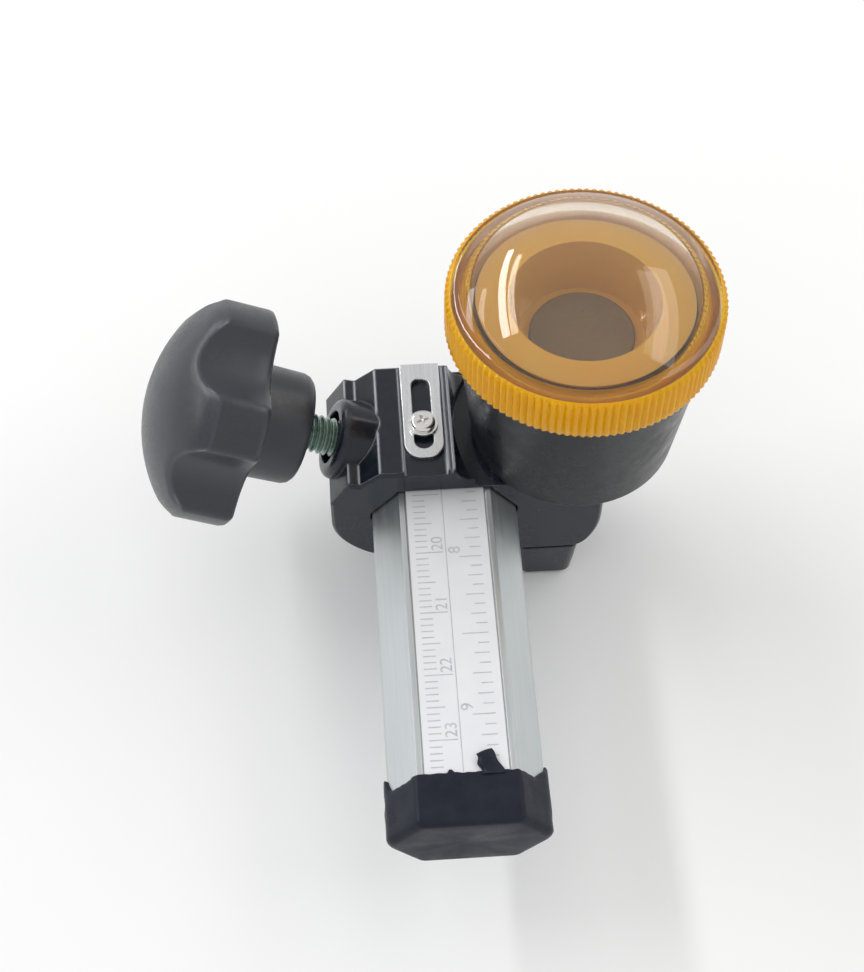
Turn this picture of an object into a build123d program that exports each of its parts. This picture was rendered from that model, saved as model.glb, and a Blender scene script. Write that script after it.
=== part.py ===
"""Sliding cutting head of a strip glass cutter on a short graduated beam.

Millimetres. X runs across the beam (clamp knob at -X, oil cup at +X), Y along
it (end cap at -Y), Z is up, square to the scale face. The origin is the mouth
of the threaded hole in the beam's rear plug, on the beam's own axis.
"""
import os
from math import asin, cos, pi, radians, sin

from build123d import *

os.makedirs("parts", exist_ok=True)

# beam extrusion
TOP_HALF = 6.9        # half width of the flat scale face
VERTEX = 11.4         # half width at the side vertices, before rounding
HALF_T = 5.9          # half thickness
VERTEX_R = 1.8
WALL = 1.4
LIP_W, LIP_H = 0.9, 0.3
BEAM_FRONT, BEAM_REAR = -72.2, -1.6
TAPE_W, TAPE_T = 11.6, 0.2

# end cap and rear plug
CAP_RIM, CAP_END, CAP_SKIN = -67.6, -75.2, 0.5
FENCE_R, FENCE_DEPTH = 2.1, 9.0     # M5 tapping hole

# slider
FRONT, REAR = -22.0, -2.0
MID = (FRONT + REAR) / 2
RUN = 0.3             # running gap between slider and beam
DECK = 10.9           # height of the pointer deck

# clamp axis: up from level by TILT and back from square by LEAN
TILT, LEAN = radians(22.0), radians(4.0)
CLAMP = Plane(origin=(-8.39, -12.57, 3.94), x_dir=(0, -1, 0),
              z_dir=(-cos(TILT) * cos(LEAN), cos(TILT) * sin(LEAN), sin(TILT)))
STUD_R, INSERT_R = 2.95, 4.1
BOSS_R, BOSS_END = 6.2, 8.9
HUB_START, HUB_R, HUB_L = 13.6, 8.5, 8.6
HEAD_L, DOME_L, STAR_R, STAR_PHASE = 7.4, 7.7, 16.6, 46.0
LOBES, BITE_AT, BITE_R, LOBE_ROUND = 5, 21.2, 8.2, 2.6

# pointer, in a shallow channel of the deck with two thin rails on its right
SEAT = DECK - 0.5
PLATE_X, PLATE_W, PLATE_T = -2.65, 6.0, 0.8
PLATE_Y0, PLATE_Y1 = -19.2, -2.0
SLOT_W, SLOT_Y0, SLOT_Y1 = 2.8, -17.6, -4.9
SCREW_Y = -13.4
SCREW_HEAD_R, SCREW_HEAD_H = 1.85, 0.75
FLOAT = 0.06          # gap above and below the sliding pointer

# oil cup
CUP = (20.1, MID)
BOWL_SCREWS = (20.6, -6.2), (20.6, -17.8)
BOWL_Z, BOWL_TOP = 6.8, 31.3
BOWL_R0, BOWL_R1 = 15.3, 17.9
NECK_R, NECK_TOP = 15.2, 36.4
CUP_FLOOR = 10.0
OIL_Z, OIL_FLOOR, OIL_FLANGE = 27.0, 1.2, 0.6
FELT_R, FELT_T = 7.6, 1.3
WICK_R, WICK_HOLE_R, WICK_LOW = 1.5, 1.6, 3.6
SEAL_IN, SEAL_OUT, SEAL_T = 16.1, 17.0, 0.8
LINING_R, SOCKET_R = 15.95, 17.4     # inside of the cap, above and beside the seal
RING_R, RING_Z0, RING_Z1, TEETH = 19.6, 31.6, 38.9, 112
DOME_R, DOME_H = 18.4, 7.0

# wheel column
COL = (16.5, -14.5)
FOOT_AT = (16.5, -13.0)
FOOT_SCREWS = (14.4, -6.2), (18.6, -6.2)
BUSH_R, BUSH_BORE, BUSH_L = 3.9, 2.45, 7.8
SPINDLE_R, SPINDLE_TOP, COLLAR_R = 2.4, 2.0, 3.4
FOOT_BOTTOM, BODY_BOTTOM = -20.4, -12.1
WHEEL_R, WHEEL_W, AXLE_R = 2.5, 1.0, 0.5
WHEEL_Z = -18.5

HEX = [(-TOP_HALF, HALF_T), (TOP_HALF, HALF_T), (VERTEX, 0),
       (TOP_HALF, -HALF_T), (-TOP_HALF, -HALF_T), (-VERTEX, 0)]


def across(y):
    """Plane square to the beam at y; it extrudes toward -Y."""
    return Plane.XZ.offset(-y)


def beam_outline(grow):
    """Six-sided beam outline with rounded side vertices, grown outward."""
    with BuildSketch() as outline:
        Polygon(*HEX, align=None)
        sides = [v for v in outline.vertices() if abs(v.Y) < 0.01]
        fillet(sides, VERTEX_R)
        if grow:
            offset(amount=grow, kind=Kind.INTERSECTION)
    return outline.sketch


def crown(x0, r, z, h):
    """Spherical arc of height h from radius r at height z to the axis at x0."""
    ball = (r * r + h * h) / (2 * h)
    spread = asin(r / ball) / 2
    return ThreePointArc((x0 + r, z),
                         (x0 + ball * sin(spread), z + h - ball * (1 - cos(spread))),
                         (x0, z + h))


SOLID_OUTLINE = beam_outline(0)
HOLLOW_OUTLINE = beam_outline(-WALL)
SKIN_OUTLINE = beam_outline(CAP_SKIN)
CHANNEL_OUTLINE = beam_outline(RUN)
PLUG_OUTLINE = beam_outline(-WALL - 0.05)
FLANGE_OUTLINE = beam_outline(0.4)
LIP_X = TOP_HALF - LIP_W / 2


# ---------------------------------------------------------------- beam body
with BuildPart() as beam:
    with BuildSketch(across(BEAM_REAR)):
        add(SOLID_OUTLINE)
        with Locations((-LIP_X, HALF_T), (LIP_X, HALF_T)):
            Rectangle(LIP_W, 2 * LIP_H)
        add(HOLLOW_OUTLINE, mode=Mode.SUBTRACT)
    extrude(amount=BEAM_REAR - BEAM_FRONT)
beam.part.label = "beam"
export_step(beam.part, "parts/beam.step")

with BuildPart() as scale_tape:
    with BuildSketch(Plane.XY.offset(HALF_T)):
        with Locations((0, (BEAM_FRONT + BEAM_REAR) / 2)):
            Rectangle(TAPE_W, BEAM_REAR - BEAM_FRONT - 1)
    extrude(amount=TAPE_T)
scale_tape.part.label = "scale_tape"
export_step(scale_tape.part, "parts/scale_tape.step")

with BuildPart() as end_cap:
    with BuildSketch(across(CAP_RIM)):
        add(SKIN_OUTLINE)
    extrude(amount=CAP_RIM - CAP_END)
    fillet(end_cap.faces().sort_by(Axis.Y)[0].edges(), 1.1)
    with BuildSketch(across(CAP_RIM)):
        add(SOLID_OUTLINE)
        with Locations((0, HALF_T)):
            Rectangle(2 * TOP_HALF, 2 * LIP_H)
    extrude(amount=CAP_RIM - BEAM_FRONT, mode=Mode.SUBTRACT)
end_cap.part.label = "end_cap"
export_step(end_cap.part, "parts/end_cap.step")

with BuildPart() as rear_plug:
    with BuildSketch(across(0)):
        add(FLANGE_OUTLINE)
    extrude(amount=-BEAM_REAR)
    chamfer(rear_plug.faces().sort_by(Axis.Y)[-1].edges(), 0.4)
    with BuildSketch(across(BEAM_REAR)):
        add(PLUG_OUTLINE)
    extrude(amount=10)
    with BuildSketch(across(0)):
        Circle(FENCE_R)
    extrude(amount=FENCE_DEPTH, mode=Mode.SUBTRACT)
rear_plug.part.label = "rear_plug"
export_step(rear_plug.part, "parts/rear_plug.step")


# -------------------------------------------------------------- slider body
with BuildPart() as slider_body:
    with BuildSketch(across(REAR)) as profile:
        with BuildLine():
            left = Polyline((1.7, DECK), (-9.5, DECK), (-12.6, 8.2), (-14.2, 8.7),
                            (-17.1, 3.6), (-17.1, -1.4))
            low = Spline((-17.1, -1.4), (-15.9, -6.4), (-12.4, -10.3), (-8.2, -11.7),
                         tangents=((0, -1), (1, -0.08)))
            base = Polyline((-8.2, -11.7), (0, BODY_BOTTOM), (20.6, BODY_BOTTOM))
            right = Spline((20.6, BODY_BOTTOM), (23.3, -9.0), (24.3, -2.5),
                           tangents=((1, 0.35), (0, 1)))
            top = Polyline((24.3, -2.5), (24.3, DECK), (8.6, DECK), (7.9, 8.4), (4.9, 7.9))
            ThreePointArc((4.9, 7.9), (2.7, 8.9), (1.7, DECK))
        make_face()
    extrude(amount=REAR - FRONT)
    rims = slider_body.faces().sort_by(Axis.Y)
    chamfer(rims[0].edges() + rims[-1].edges(), 0.45)
    with BuildSketch(CLAMP.offset(2.6)):
        Circle(BOSS_R)
    extrude(amount=BOSS_END - 2.6)
    fillet(slider_body.edges().filter_by(GeomType.CIRCLE).sort_by(
        lambda e: e.center().X)[0], 1.2)
    with BuildSketch(across(REAR + 1)):
        add(CHANNEL_OUTLINE)
        with Locations((0, HALF_T + RUN)):
            Rectangle(2 * TOP_HALF + 0.6, 2 * LIP_H)
    extrude(amount=REAR - FRONT + 2, mode=Mode.SUBTRACT)
    with BuildSketch(CLAMP.offset(-2)):
        Circle(INSERT_R)
    extrude(amount=BOSS_END + 6, mode=Mode.SUBTRACT)
    with BuildSketch(Plane.XY.offset(SEAT)):
        with Locations((PLATE_X, MID)):
            Rectangle(PLATE_W + 0.4, REAR - FRONT)
        with Locations((1.12, MID)):
            Rectangle(0.35, REAR - FRONT)
    extrude(amount=1, mode=Mode.SUBTRACT)
    with BuildSketch(Plane.XY.offset(SEAT)):
        with Locations((PLATE_X, SCREW_Y)):
            Circle(1.5)
    extrude(amount=-3.2, mode=Mode.SUBTRACT)
    with BuildSketch(Plane.XY.offset(BODY_BOTTOM)):
        with Locations(COL):
            Circle(BUSH_R)
    extrude(amount=8, mode=Mode.SUBTRACT)
    with BuildSketch(Plane.XY.offset(BODY_BOTTOM + 8)):
        with Locations(COL):
            Circle(COLLAR_R)
    extrude(amount=7, mode=Mode.SUBTRACT)
    with BuildSketch(Plane.XY.offset(0)):
        with Locations(COL):
            Circle(WICK_HOLE_R)
    extrude(amount=DECK, mode=Mode.SUBTRACT)
    with BuildSketch(Plane.XY.offset(BODY_BOTTOM)):
        with Locations(*FOOT_SCREWS):
            Circle(1.05)
    extrude(amount=5, mode=Mode.SUBTRACT)
    with BuildSketch(Plane.XY.offset(BOWL_Z)):
        with Locations(CUP):
            Circle(BOWL_R1 + 0.4)
    extrude(amount=8, mode=Mode.SUBTRACT)
    with BuildSketch(Plane.XY.offset(BOWL_Z)):
        with Locations(*BOWL_SCREWS):
            Circle(1.3)
    extrude(amount=-6, mode=Mode.SUBTRACT)
slider_body.part.label = "slider_body"
export_step(slider_body.part, "parts/slider_body.step")

with BuildPart() as clamp_insert:
    with BuildSketch(CLAMP.offset(2.4)):
        Circle(INSERT_R)
        Circle(STUD_R + 0.08, mode=Mode.SUBTRACT)
    extrude(amount=BOSS_END - 4.6)
clamp_insert.part.label = "clamp_insert"
export_step(clamp_insert.part, "parts/clamp_insert.step")

with BuildPart() as pointer_insert:
    with BuildSketch(Plane.XY.offset(SEAT - 3.2)):
        with Locations((PLATE_X, SCREW_Y)):
            Circle(1.5)
            Circle(0.8, mode=Mode.SUBTRACT)
    extrude(amount=3.2)
pointer_insert.part.label = "pointer_insert"
export_step(pointer_insert.part, "parts/pointer_insert.step")

WASHER_Z = SEAT + PLATE_T + 2 * FLOAT

with BuildPart() as pointer_washer:
    with BuildSketch(Plane.XY.offset(WASHER_Z)):
        with Locations((PLATE_X, SCREW_Y)):
            Circle(2.25)
            Circle(1.1, mode=Mode.SUBTRACT)
    extrude(amount=0.4)
pointer_washer.part.label = "pointer_washer"
export_step(pointer_washer.part, "parts/pointer_washer.step")

with BuildPart() as pointer_screw:
    with BuildSketch(Plane.XY.offset(SEAT - 2.8)):
        with Locations((PLATE_X, SCREW_Y)):
            Circle(0.8)
    extrude(amount=WASHER_Z + 0.4 - SEAT + 2.8)
    with BuildSketch(Plane.XY.offset(WASHER_Z + 0.4)):
        with Locations((PLATE_X, SCREW_Y)):
            Circle(SCREW_HEAD_R)
    extrude(amount=SCREW_HEAD_H)
    fillet(pointer_screw.edges().sort_by(Axis.Z)[-1], 0.5)
    with BuildSketch(Plane.XY.offset(WASHER_Z + 0.4 + SCREW_HEAD_H)):
        with Locations((PLATE_X, SCREW_Y)):
            Rectangle(1.9, 0.4, rotation=20)
            Rectangle(0.4, 1.9, rotation=20)
    extrude(amount=-0.5, mode=Mode.SUBTRACT)
pointer_screw.part.label = "pointer_screw"
export_step(pointer_screw.part, "parts/pointer_screw.step")

with BuildPart() as pointer_plate:
    with BuildSketch(Plane.XY.offset(SEAT + FLOAT)) as plate:
        with Locations((PLATE_X, (PLATE_Y0 + PLATE_Y1) / 2)):
            Rectangle(PLATE_W, PLATE_Y1 - PLATE_Y0)
        fillet(plate.vertices().group_by(Axis.Y)[0], 2.6)
        with Locations((PLATE_X, (SLOT_Y0 + SLOT_Y1) / 2)):
            SlotOverall(SLOT_Y1 - SLOT_Y0, SLOT_W, rotation=90, mode=Mode.SUBTRACT)
    extrude(amount=PLATE_T)
    chamfer(pointer_plate.faces().sort_by(Axis.Z)[-1].edges(), 0.12)
pointer_plate.part.label = "pointer_plate"
export_step(pointer_plate.part, "parts/pointer_plate.step")


# ------------------------------------------------------------- clamp knob
def star():
    """Five-lobed outline: a disc with five round bites and rounded corners."""
    with BuildSketch() as outline:
        Circle(STAR_R)
        with PolarLocations(BITE_AT, LOBES, start_angle=STAR_PHASE + 180 / LOBES):
            Circle(BITE_R, mode=Mode.SUBTRACT)
        fillet(outline.vertices(), LOBE_ROUND)
    return outline.sketch


STAR = star()
HEAD_START = HUB_START + HUB_L
HEAD_END = HEAD_START + HEAD_L
KNOB_SIDE = Plane(origin=CLAMP.origin, x_dir=CLAMP.x_dir, z_dir=-CLAMP.y_dir)

with BuildPart() as clamp_knob:
    with BuildSketch(CLAMP.offset(HEAD_START)):
        add(STAR)
    extrude(amount=HEAD_L + DOME_L)
    with BuildSketch(KNOB_SIDE):
        with BuildLine():
            Line((0, HEAD_START), (STAR_R - 1.0, HEAD_START))
            Line((STAR_R - 1.0, HEAD_START), (STAR_R + 0.3, HEAD_START + 1.3))
            Line((STAR_R + 0.3, HEAD_START + 1.3), (STAR_R + 0.3, HEAD_END))
            Line((STAR_R + 0.3, HEAD_END), (STAR_R - 1.7, HEAD_END + 2.4))
            crown(0, STAR_R - 1.7, HEAD_END + 2.4, DOME_L - 2.4)
            Line((0, HEAD_END + DOME_L), (0, HEAD_START))
        make_face()
    revolve(axis=Axis(CLAMP.origin, CLAMP.z_dir), mode=Mode.INTERSECT)
    with BuildSketch(KNOB_SIDE):
        with BuildLine():
            Polyline((0, HEAD_START + 0.5), (0, HUB_START), (HUB_R - 1.6, HUB_START))
            RadiusArc((HUB_R - 1.6, HUB_START), (HUB_R, HUB_START + 1.6), -1.6)
            Polyline((HUB_R, HUB_START + 1.6), (HUB_R + 0.2, HEAD_START + 0.5),
                     (0, HEAD_START + 0.5))
        make_face()
    revolve(axis=Axis(CLAMP.origin, CLAMP.z_dir))
    with BuildSketch(CLAMP.offset(HUB_START)):
        Circle(STUD_R)
    extrude(amount=12, mode=Mode.SUBTRACT)
clamp_knob.part.label = "clamp_knob"
export_step(clamp_knob.part, "parts/clamp_knob.step")

with BuildPart() as clamp_stud:
    with BuildSketch(CLAMP.offset(2.4)):
        Circle(STUD_R)
    extrude(amount=HUB_START + 12 - 2.4)
    with BuildSketch(CLAMP.offset(1.5)):
        Circle(1.2)
    extrude(amount=1.0)
clamp_stud.part.label = "clamp_stud"
export_step(clamp_stud.part, "parts/clamp_stud.step")

with BuildPart() as clamp_pad:
    with BuildSketch(CLAMP.offset(0.8)):
        Circle(2.3)
    extrude(amount=1.5)
    fillet(clamp_pad.faces().sort_by(Axis.X)[-1].edges(), 1.0)
    with BuildSketch(CLAMP.offset(1.4)):
        Circle(1.27)
    extrude(amount=2, mode=Mode.SUBTRACT)
clamp_pad.part.label = "clamp_pad"
export_step(clamp_pad.part, "parts/clamp_pad.step")


# --------------------------------------------------------------- oil cup
CUP_SIDE = Plane.XZ.offset(-CUP[1])
CUP_AXIS = Axis((CUP[0], CUP[1], 0), (0, 0, 1))


def half(points):
    """Half profile, given as radius and height about the cup axis."""
    with BuildSketch(CUP_SIDE) as profile:
        with BuildLine():
            Polyline(*[(CUP[0] + r, z) for r, z in points], close=True)
        make_face()
    return profile.sketch


BOWL_PROFILE = half([
    (0, BOWL_Z), (BOWL_R0 - 1.2, BOWL_Z), (BOWL_R0, BOWL_Z + 1.4),
    (BOWL_R1, BOWL_TOP - 0.5), (BOWL_R1 - 0.4, BOWL_TOP), (NECK_R, BOWL_TOP),
    (NECK_R, BOWL_TOP + 1.3), (NECK_R + 0.4, BOWL_TOP + 1.7), (NECK_R, BOWL_TOP + 2.1),
    (NECK_R, BOWL_TOP + 3.0), (NECK_R + 0.4, BOWL_TOP + 3.4), (NECK_R, BOWL_TOP + 3.8),
    (NECK_R, NECK_TOP), (NECK_R - 1.2, NECK_TOP), (12.0, CUP_FLOOR), (0, CUP_FLOOR)])
OIL_CUP_PROFILE = half([
    (0, OIL_Z), (10.4, OIL_Z), (11.4, NECK_TOP), (NECK_R - 0.3, NECK_TOP),
    (NECK_R - 0.3, NECK_TOP + OIL_FLANGE), (10.5, NECK_TOP + OIL_FLANGE),
    (9.3, OIL_Z + OIL_FLOOR), (0, OIL_Z + OIL_FLOOR)])

with BuildPart() as head_housing:
    revolve(BOWL_PROFILE, axis=CUP_AXIS)
    with BuildSketch(Plane.XY.offset(BOWL_Z)):
        with Locations(COL):
            Circle(WICK_HOLE_R)
        with Locations(*BOWL_SCREWS):
            Circle(1.3)
    extrude(amount=4, mode=Mode.SUBTRACT)
head_housing.part.label = "head_housing"
export_step(head_housing.part, "parts/head_housing.step")

with BuildPart() as housing_screws:
    with BuildSketch(Plane.XY.offset(CUP_FLOOR)):
        with Locations(*BOWL_SCREWS):
            Circle(2.4)
    extrude(amount=1.6)
    with BuildSketch(Plane.XY.offset(BOWL_Z - 5.5)):
        with Locations(*BOWL_SCREWS):
            Circle(1.25)
    extrude(amount=CUP_FLOOR - BOWL_Z + 5.6)
housing_screws.part.label = "housing_screws"
export_step(housing_screws.part, "parts/housing_screws.step")

with BuildPart() as oil_cup:
    revolve(OIL_CUP_PROFILE, axis=CUP_AXIS)
    with BuildSketch(Plane.XY.offset(OIL_Z)):
        with Locations(COL):
            Circle(WICK_HOLE_R)
    extrude(amount=2, mode=Mode.SUBTRACT)
oil_cup.part.label = "oil_cup"
export_step(oil_cup.part, "parts/oil_cup.step")

with BuildPart() as felt_disc:
    with BuildSketch(Plane.XY.offset(OIL_Z + OIL_FLOOR + 0.05)):
        with Locations(CUP):
            Circle(FELT_R)
    extrude(amount=FELT_T)
    fillet(felt_disc.edges().sort_by(Axis.Z)[-1], 0.4)
felt_disc.part.label = "felt_disc"
export_step(felt_disc.part, "parts/felt_disc.step")

with BuildPart() as oil_wick:
    with BuildSketch(Plane.XY.offset(WICK_LOW)):
        with Locations(COL):
            Circle(WICK_R)
    extrude(amount=OIL_Z + OIL_FLOOR - WICK_LOW)
oil_wick.part.label = "oil_wick"
export_step(oil_wick.part, "parts/oil_wick.step")

with BuildPart() as reservoir_seal:
    with BuildSketch(Plane.XY.offset(BOWL_TOP + 0.15)):
        with Locations(CUP):
            Circle(SEAL_OUT)
            Circle(SEAL_IN, mode=Mode.SUBTRACT)
    extrude(amount=SEAL_T)
    fillet(reservoir_seal.edges(), 0.2)
reservoir_seal.part.label = "reservoir_seal"
export_step(reservoir_seal.part, "parts/reservoir_seal.step")

TOOTH = [(RING_R if i % 2 else RING_R - 0.42, 2 * pi * i / (2 * TEETH))
         for i in range(2 * TEETH)]

with BuildPart() as reservoir_cap:
    with BuildSketch(Plane.XY.offset(RING_Z0)):
        with Locations(CUP):
            Polygon(*[(r * cos(a), r * sin(a)) for r, a in TOOTH], align=None)
    extrude(amount=RING_Z1 - RING_Z0)
    with BuildSketch(CUP_SIDE):
        with BuildLine():
            Polyline((CUP[0], RING_Z1 + DOME_H), (CUP[0], RING_Z0 + 0.5),
                     (CUP[0] + DOME_R, RING_Z0 + 0.5), (CUP[0] + DOME_R, RING_Z1))
            crown(CUP[0], DOME_R, RING_Z1, DOME_H)
        make_face()
    revolve(axis=CUP_AXIS)
    with BuildSketch(CUP_SIDE):
        with BuildLine():
            Polyline((CUP[0], RING_Z1 + DOME_H - 1.9), (CUP[0], RING_Z0 - 1),
                     (CUP[0] + SOCKET_R, RING_Z0 - 1), (CUP[0] + SOCKET_R, RING_Z0 + 1.1),
                     (CUP[0] + LINING_R, RING_Z0 + 1.1), (CUP[0] + LINING_R, RING_Z1 - 0.8))
            crown(CUP[0], LINING_R, RING_Z1 - 0.8, DOME_H - 1.1)
        make_face()
    revolve(axis=CUP_AXIS, mode=Mode.SUBTRACT)
reservoir_cap.part.label = "reservoir_cap"
export_step(reservoir_cap.part, "parts/reservoir_cap.step")


# ------------------------------------------------------------ wheel column
with BuildPart() as foot:
    with BuildSketch(Plane.XY.offset(BODY_BOTTOM)) as upper:
        with Locations(FOOT_AT):
            Rectangle(9.9, 18.0)
        fillet(upper.vertices(), 1.6)
    with BuildSketch(Plane.XY.offset(FOOT_BOTTOM)) as lower:
        with Locations(FOOT_AT):
            Rectangle(8.4, 16.8)
        fillet(lower.vertices(), 1.6)
    loft()
    with BuildSketch(Plane.XY.offset(BODY_BOTTOM)):
        with Locations(COL):
            Circle(3.85)
        with Locations(*FOOT_SCREWS):
            Circle(1.05)
    extrude(amount=-9, mode=Mode.SUBTRACT)
    with BuildSketch(Plane.XY.offset(FOOT_BOTTOM)):
        with Locations(*FOOT_SCREWS):
            Circle(1.7)
    extrude(amount=1.4, mode=Mode.SUBTRACT)
foot.part.label = "foot"
export_step(foot.part, "parts/foot.step")

with BuildPart() as foot_screws:
    with BuildSketch(Plane.XY.offset(FOOT_BOTTOM + 0.2)):
        with Locations(*FOOT_SCREWS):
            Circle(1.65)
    extrude(amount=1.1)
    with BuildSketch(Plane.XY.offset(FOOT_BOTTOM + 0.8)):
        with Locations(*FOOT_SCREWS):
            Circle(1.0)
    extrude(amount=12)
foot_screws.part.label = "foot_screws"
export_step(foot_screws.part, "parts/foot_screws.step")

with BuildPart() as guide_bush:
    with BuildSketch(Plane.XY.offset(BODY_BOTTOM)):
        with Locations(COL):
            Circle(BUSH_R)
            Circle(BUSH_BORE, mode=Mode.SUBTRACT)
    extrude(amount=BUSH_L)
guide_bush.part.label = "guide_bush"
export_step(guide_bush.part, "parts/guide_bush.step")

with BuildPart() as wheel_holder:
    with BuildSketch(Plane.XY.offset(-20.0)):
        with Locations(COL):
            Circle(COLLAR_R)
    extrude(amount=7.5)
    with BuildSketch(Plane.XY.offset(-13.0)):
        with Locations(COL):
            Circle(SPINDLE_R)
    extrude(amount=SPINDLE_TOP + 13.0)
    with BuildSketch(Plane.XY.offset(-21.0)):
        with Locations(COL):
            Rectangle(WHEEL_W + 0.2, 8)
    extrude(amount=5.3, mode=Mode.SUBTRACT)
    with BuildSketch(Plane.YZ.offset(COL[0] - 4)):
        with Locations((COL[1], WHEEL_Z)):
            Circle(AXLE_R)
    extrude(amount=8, mode=Mode.SUBTRACT)
    with BuildSketch(Plane.XY.offset(-16.0)):
        with Locations(COL):
            Circle(0.7)
    extrude(amount=19, mode=Mode.SUBTRACT)
wheel_holder.part.label = "wheel_holder"
export_step(wheel_holder.part, "parts/wheel_holder.step")

with BuildPart() as retaining_ring:
    with BuildSketch(Plane.XY.offset(-3.9)):
        with Locations(COL):
            Circle(3.1)
            Circle(SPINDLE_R, mode=Mode.SUBTRACT)
    extrude(amount=0.8)
retaining_ring.part.label = "retaining_ring"
export_step(retaining_ring.part, "parts/retaining_ring.step")

with BuildPart() as wheel_axle:
    with BuildSketch(Plane.YZ.offset(COL[0] - 3.2)):
        with Locations((COL[1], WHEEL_Z)):
            Circle(AXLE_R)
    extrude(amount=6.4)
wheel_axle.part.label = "wheel_axle"
export_step(wheel_axle.part, "parts/wheel_axle.step")

with BuildPart() as cutting_wheel:
    with BuildSketch(Plane.XZ.offset(-COL[1])):
        with BuildLine():
            Polyline((COL[0] - WHEEL_W / 2, WHEEL_Z + AXLE_R + 0.05),
                     (COL[0] + WHEEL_W / 2, WHEEL_Z + AXLE_R + 0.05),
                     (COL[0] + WHEEL_W / 2, WHEEL_Z + WHEEL_R - 0.45),
                     (COL[0], WHEEL_Z + WHEEL_R),
                     (COL[0] - WHEEL_W / 2, WHEEL_Z + WHEEL_R - 0.45), close=True)
        make_face()
    revolve(axis=Axis((COL[0], COL[1], WHEEL_Z), (1, 0, 0)))
cutting_wheel.part.label = "cutting_wheel"
export_step(cutting_wheel.part, "parts/cutting_wheel.step")
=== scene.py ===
# %% [markdown]
# # Sliding cutting head of a strip glass cutter
# The tool is a short graduated aluminium beam with a glossy black slider on it.
# The slider carries a star knob, a slotted steel pointer and a bowl with an
# amber oil cap. The measured solids are loaded first and stay fixed. Each
# later cell gives one of them its finish, or lays a finer mesh over it.

# %% Load the fixed frame
import math

import bmesh
import bpy
from mathutils import Matrix, Vector, noise


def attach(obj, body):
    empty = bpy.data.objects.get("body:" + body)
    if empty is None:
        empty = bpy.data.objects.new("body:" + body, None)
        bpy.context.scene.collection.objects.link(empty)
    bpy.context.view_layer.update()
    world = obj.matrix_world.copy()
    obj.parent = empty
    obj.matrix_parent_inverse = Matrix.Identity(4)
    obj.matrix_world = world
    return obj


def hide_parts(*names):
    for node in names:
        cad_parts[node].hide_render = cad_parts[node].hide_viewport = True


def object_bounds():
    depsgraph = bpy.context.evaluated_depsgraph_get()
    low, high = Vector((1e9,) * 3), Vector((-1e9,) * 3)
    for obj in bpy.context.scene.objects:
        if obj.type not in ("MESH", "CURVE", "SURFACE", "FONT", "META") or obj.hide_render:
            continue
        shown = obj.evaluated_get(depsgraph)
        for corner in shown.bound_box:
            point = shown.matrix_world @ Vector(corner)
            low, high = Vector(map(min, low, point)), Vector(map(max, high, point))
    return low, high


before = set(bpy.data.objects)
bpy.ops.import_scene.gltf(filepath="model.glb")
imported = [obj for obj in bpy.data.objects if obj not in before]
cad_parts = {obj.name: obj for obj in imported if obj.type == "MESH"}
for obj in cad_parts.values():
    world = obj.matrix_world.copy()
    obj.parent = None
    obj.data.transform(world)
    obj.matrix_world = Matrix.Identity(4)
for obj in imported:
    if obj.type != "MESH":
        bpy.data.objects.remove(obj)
cad_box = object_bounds()
MM = 0.001

# %% [markdown]
# ## Small tools
# Every finish is one Principled shader with a few textures in front of it, so
# a helper makes the empty material and sets plain numbers on the shader itself.
# A second helper places a node group and sets its inputs, and a third makes a
# new node group with its sockets.

# %% Material tools
def new_finish(name, **plain):
    finish = bpy.data.materials.new(name)
    finish.use_nodes = True
    tree = finish.node_tree
    tree.nodes.clear()
    out = tree.nodes.new("ShaderNodeOutputMaterial")
    shader = tree.nodes.new("ShaderNodeBsdfPrincipled")
    tree.links.new(shader.outputs["BSDF"], out.inputs["Surface"])
    for socket, value in plain.items():
        shader.inputs[socket.replace("_", " ")].default_value = value
    return finish, tree, shader


def put_group(tree, group, **values):
    node = tree.nodes.new("ShaderNodeGroup")
    node.node_tree = group
    for socket, value in values.items():
        node.inputs[socket.replace("_", " ")].default_value = value
    return node


def new_group(name, inputs, outputs):
    tree = bpy.data.node_groups.new(name, "ShaderNodeTree")
    for label, kind, value in inputs:
        socket = tree.interface.new_socket(label, in_out="INPUT", socket_type=kind)
        socket.default_value = value
    for label, kind in outputs:
        tree.interface.new_socket(label, in_out="OUTPUT", socket_type=kind)
    return tree, tree.nodes.new("NodeGroupInput"), tree.nodes.new("NodeGroupOutput")


FLOAT, COLOR, VECTOR = "NodeSocketFloat", "NodeSocketColor", "NodeSocketVector"
print("material tools ready")

# %% [markdown]
# ## Shared effects
# Three effects come back in many finishes. Grain is a stretched noise that
# mixes two colours, two roughness values and a height. Edge wear compares the
# true normal with a rounded one, which differ only near an edge, and pales the
# colour there; on the black moulding and the knob this pale edge is a painted
# highlight. Smudges are broad soft patches that dull the surface.

# %% Grain group
grain, g_in, g_out = new_group(
    "surface_grain",
    [("Scale", FLOAT, 900.0), ("Detail", FLOAT, 4.0), ("Stretch", VECTOR, (1, 1, 1)),
     ("Low Color", COLOR, (0, 0, 0, 1)), ("High Color", COLOR, (1, 1, 1, 1)),
     ("Low Rough", FLOAT, 0.3), ("High Rough", FLOAT, 0.5)],
    [("Color", COLOR), ("Roughness", FLOAT), ("Height", FLOAT)])
coords = grain.nodes.new("ShaderNodeTexCoord")
stretch = grain.nodes.new("ShaderNodeVectorMath")
stretch.operation = "MULTIPLY"
speck = grain.nodes.new("ShaderNodeTexNoise")
blend = grain.nodes.new("ShaderNodeMix")
blend.data_type = "RGBA"
rough = grain.nodes.new("ShaderNodeMapRange")
rough.inputs["From Min"].default_value = 0.3
rough.inputs["From Max"].default_value = 0.7
link = grain.links.new
link(coords.outputs["Object"], stretch.inputs[0])
link(g_in.outputs["Stretch"], stretch.inputs[1])
link(stretch.outputs[0], speck.inputs["Vector"])
link(g_in.outputs["Scale"], speck.inputs["Scale"])
link(g_in.outputs["Detail"], speck.inputs["Detail"])
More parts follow.
